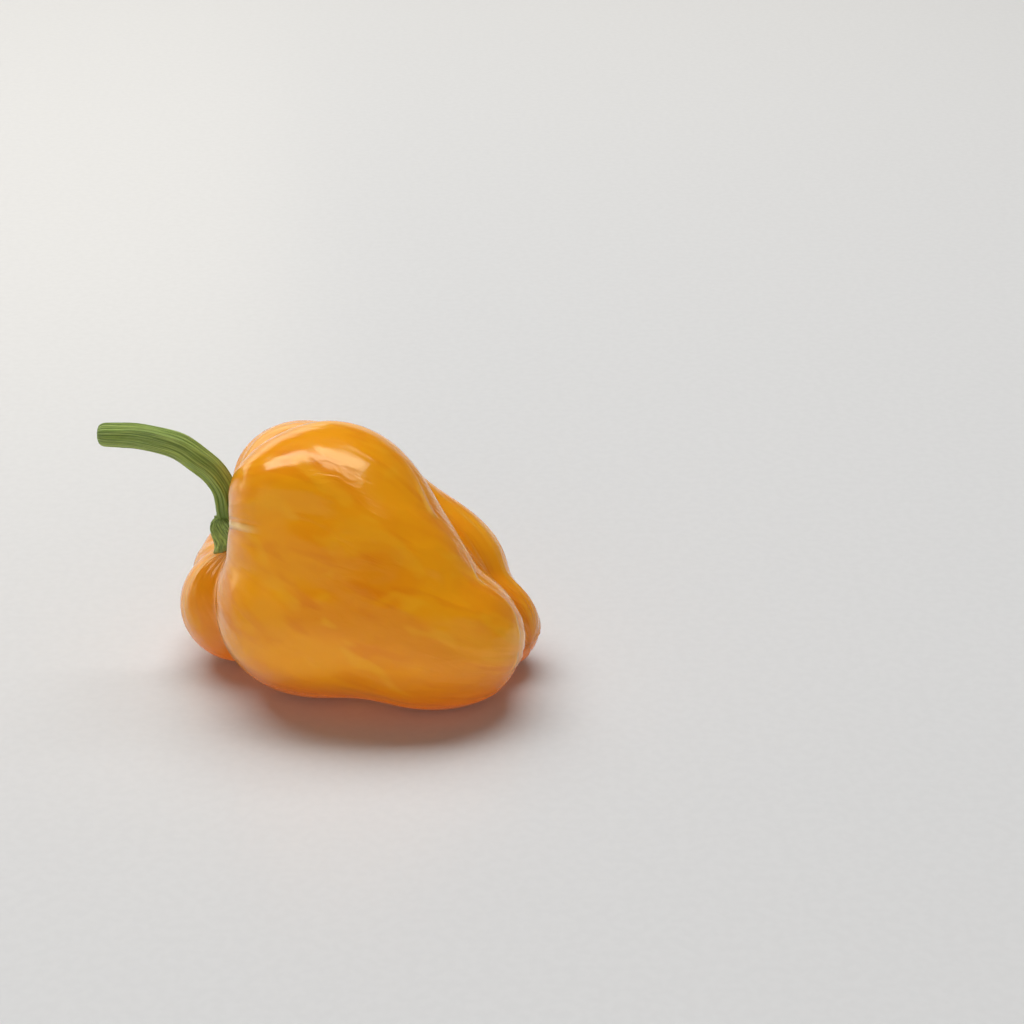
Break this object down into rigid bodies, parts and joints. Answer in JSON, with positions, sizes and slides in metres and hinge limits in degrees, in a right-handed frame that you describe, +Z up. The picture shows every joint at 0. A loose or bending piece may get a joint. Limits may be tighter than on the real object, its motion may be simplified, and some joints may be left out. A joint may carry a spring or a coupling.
{
  "type": "chilli pepper",
  "caption": "Orange habanero-type chilli pepper with blunt, softly lobed skin, a green toothed calyx and a curved cut stem, lying on one side.",
  "frame": {"origin": "on the table, under the middle of the pepper's overall length and depth", "axes": "+X from the cut end of the stem towards the tip of the fruit, +Z up, +Y away from the side that the picture shows"},
  "size_m": [0.061, 0.042, 0.0376],
  "materials": {
    "skin": "waxy gloss, amber orange with deeper orange creases",
    "calyx": "dull leathery green with fine radial fibres",
    "stem": "satin green with lengthwise ribs"
  },
  "bodies": {
    "root": {"fruit": "skin", "calyx": "calyx", "stem": "stem"}
  },
  "joints": []
}
